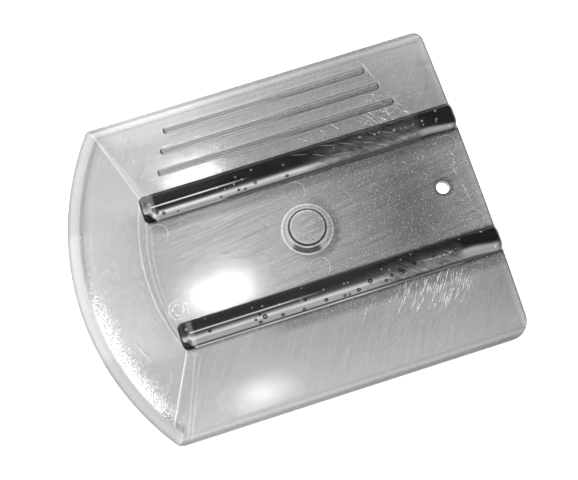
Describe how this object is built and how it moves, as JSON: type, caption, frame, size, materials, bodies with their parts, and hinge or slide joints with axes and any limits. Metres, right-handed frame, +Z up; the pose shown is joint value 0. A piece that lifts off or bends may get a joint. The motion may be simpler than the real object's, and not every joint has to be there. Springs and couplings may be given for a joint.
{
  "type": "vinyl squeegee",
  "caption": "Clear hard plastic card for smoothing vinyl and window film, with a curved tapered blade, raised grip bars, a round boss, slim raised lines and a hanging hole.",
  "frame": {"origin": "middle of the card's outline, on the flat underside that it lies on", "axes": "+Y along the length towards the straight end with the hanging hole, the curved blade to -Y; +X across the width, away from the raised lines; +Z up out of the face that carries the grip bars"},
  "size_m": [0.1016, 0.127, 0.0082],
  "materials": {
    "clear_plate": "clear moulded plastic, worn by fine scratches",
    "clear_bars": "clear moulded plastic, glossy, with small bubbles inside",
    "clear_relief": "clear moulded plastic, glossy"
  },
  "bodies": {
    "root": {"blade_plate": "clear_plate", "grip_bar_left": "clear_bars", "grip_bar_right": "clear_bars", "centre_boss": "clear_relief", "raised_line_1": "clear_relief", "raised_line_2": "clear_relief", "raised_line_3": "clear_relief"}
  },
  "joints": []
}
